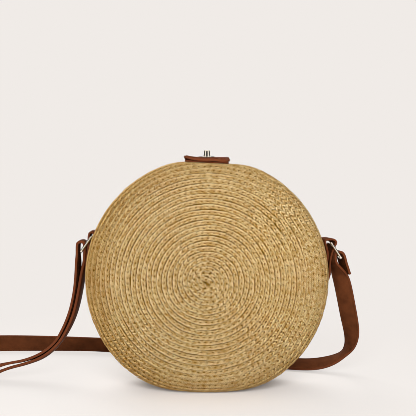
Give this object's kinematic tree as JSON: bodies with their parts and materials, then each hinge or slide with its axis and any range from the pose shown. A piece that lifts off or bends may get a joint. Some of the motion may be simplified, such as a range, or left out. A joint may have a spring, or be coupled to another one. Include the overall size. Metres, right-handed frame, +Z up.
{
  "type": "round straw bag",
  "caption": "Round clutch of spirally sewn straw: two shells hinged at the bottom, a leather tab with a turn lock, and a leather strap on side rings.",
  "frame": {"origin": "on the floor under the middle of the seam between the two shells", "axes": "+Z up, the front shell faces -Y, +X to the right of someone who faces the front"},
  "size_m": [0.4499, 0.1742, 0.2005],
  "materials": {
    "straw_braid": "matte",
    "lining_cloth": "matte",
    "sewing_thread": "matte",
    "tab_leather": "satin",
    "strap_leather": "satin",
    "nickel_metal": "polished"
  },
  "bodies": {
    "back_half": {"back_shell": "straw_braid", "back_lining": "lining_cloth", "back_rim_facing": "straw_braid", "hinge_stitches": "sewing_thread", "tab_root": "tab_leather", "side_tab_left": "tab_leather", "side_tab_right": "tab_leather", "strap_main": "strap_leather", "strap_left_upper": "strap_leather", "strap_left_lower": "strap_leather", "strap_slide": "nickel_metal"},
    "front_half": {"front_shell": "straw_braid", "front_lining": "lining_cloth", "front_rim_facing": "straw_braid", "lock_patch": "tab_leather", "lock_base": "nickel_metal", "lock_washer": "nickel_metal"},
    "closure_flap": {"closure_tab": "tab_leather", "eyelet_plate": "nickel_metal", "eyelet_backplate": "nickel_metal"},
    "turn_knob": {"lock_knob": "nickel_metal", "knob_retainer": "nickel_metal"},
    "left_ring": {"ring_left": "nickel_metal", "strap_end_left": "strap_leather"},
    "right_ring": {"ring_right": "nickel_metal", "strap_end_right": "strap_leather"}
  },
  "joints": [
    {"name": "mouth_open", "type": "hinge", "parent": "back_half", "child": "front_half", "pos_m": [0, 0, 0.002], "axis": [1, 0, 0], "range_deg": [0, 18], "stiffness_Nm_per_rad": 0.1, "springref_deg": -20.05},
    {"name": "tab_lift", "type": "hinge", "parent": "back_half", "child": "closure_flap", "pos_m": [0, 0.015, 0.1946], "axis": [-1, 0, 0], "range_deg": [0, 160]},
    {"name": "lock_turn", "type": "hinge", "parent": "front_half", "child": "turn_knob", "pos_m": [0, -0.012, 0.196], "axis": [0, 0, 1], "range_deg": [0, 90]},
    {"name": "left_ring_swing", "type": "hinge", "parent": "back_half", "child": "left_ring", "pos_m": [-0.09897, 0.014, 0.1263], "axis": [0, 1, 0], "range_deg": [0, 60]},
    {"name": "right_ring_swing", "type": "hinge", "parent": "back_half", "child": "right_ring", "pos_m": [0.10633, 0.014, 0.1211], "axis": [0, -1, 0], "range_deg": [0, 60]}
  ],
  "couplings": [
    {"joint": "tab_lift", "follows": "mouth_open", "ratio": 8.8888}
  ]
}
